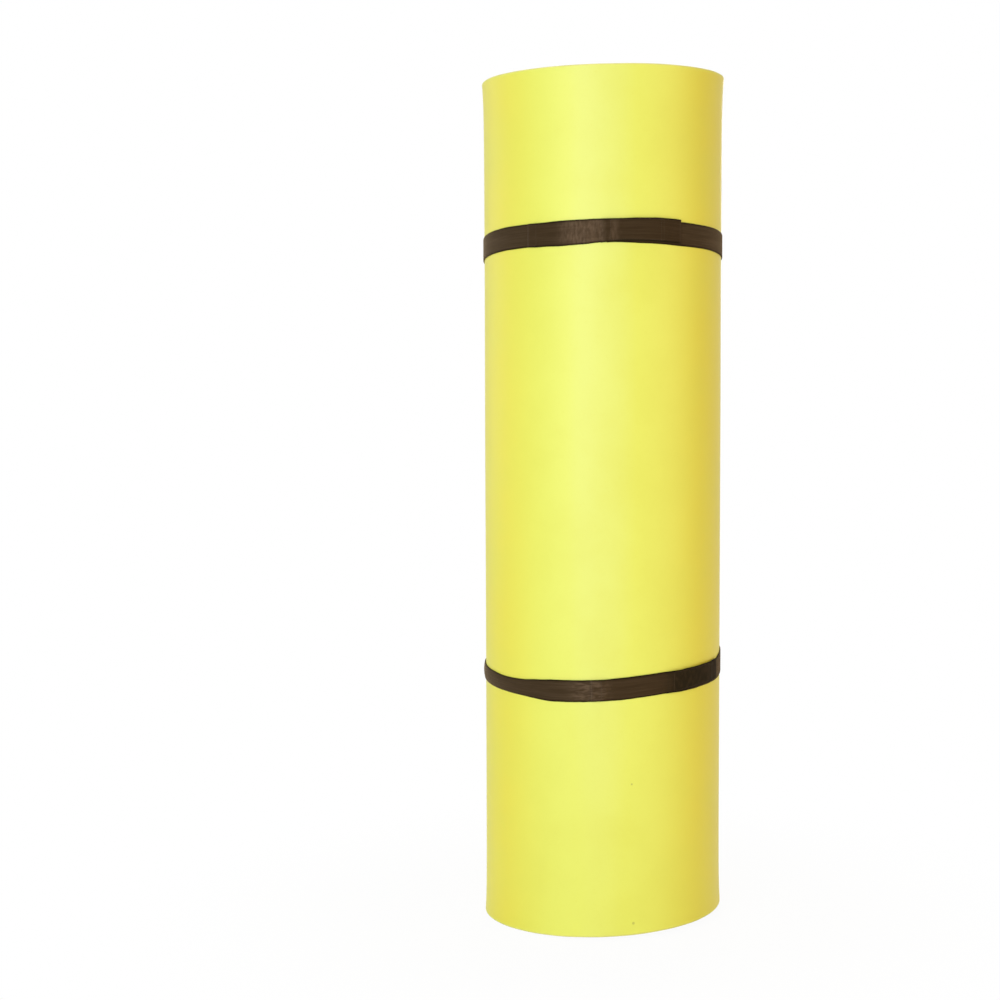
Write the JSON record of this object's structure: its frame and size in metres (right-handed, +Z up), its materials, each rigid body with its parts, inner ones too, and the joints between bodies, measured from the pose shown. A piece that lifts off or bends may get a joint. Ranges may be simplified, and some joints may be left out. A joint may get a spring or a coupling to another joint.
{
  "type": "swim float mat",
  "caption": "Thick three-layer foam water float mat, rolled up with its yellow side out and held by dark hook-and-loop straps with peel-back tabs.",
  "frame": {"origin": "centre of the bounding box at the floor, under the roll standing on its end", "axes": "+Z up along the roll's axis, -Y the pictured front, +X to the viewer's right"},
  "size_m": [0.5258, 0.5368, 1.83],
  "materials": {
    "yellow_foam": "matte closed-cell foam skin",
    "black_foam": "matte closed-cell foam",
    "blue_foam": "matte closed-cell foam skin",
    "webbing": "woven loop-pile webbing, matt dark brown",
    "hook_tape": "hook tape, dense short hooks",
    "thread": "twisted polyester sewing thread"
  },
  "bodies": {
    "roll": {"yellow_foam_layer": "yellow_foam", "black_foam_layer": "black_foam", "blue_foam_layer": "blue_foam"},
    "upper_strap": {"upper_strap_loop_band": "webbing", "upper_strap_front_band": "webbing", "upper_strap_lap_stitching": "thread"},
    "upper_tab": {"upper_strap_tab": "webbing", "upper_strap_hook_tape": "hook_tape", "upper_strap_tab_stitching": "thread"},
    "lower_strap": {"lower_strap_loop_band": "webbing", "lower_strap_front_band": "webbing", "lower_strap_lap_stitching": "thread"},
    "lower_tab": {"lower_strap_tab": "webbing", "lower_strap_hook_tape": "hook_tape", "lower_strap_tab_stitching": "thread"}
  },
  "joints": [
    {"name": "upper_strap_slide", "type": "slide", "parent": "roll", "child": "upper_strap", "axis": [0, 0, 1], "range_m": [-0.4, 0.2]},
    {"name": "upper_tab_peel", "type": "hinge", "parent": "upper_strap", "child": "upper_tab", "pos_m": [-0.00591, -0.26725, 1.49806], "axis": [0, 0, -1], "range_deg": [0, 150]},
    {"name": "lower_strap_slide", "type": "slide", "parent": "roll", "child": "lower_strap", "axis": [0, 0, 1], "range_m": [-0.4, 0.4]},
    {"name": "lower_tab_peel", "type": "hinge", "parent": "lower_strap", "child": "lower_tab", "pos_m": [0.13178, -0.22995, 0.54682], "axis": [0, 0, -1], "range_deg": [0, 150]}
  ]
}
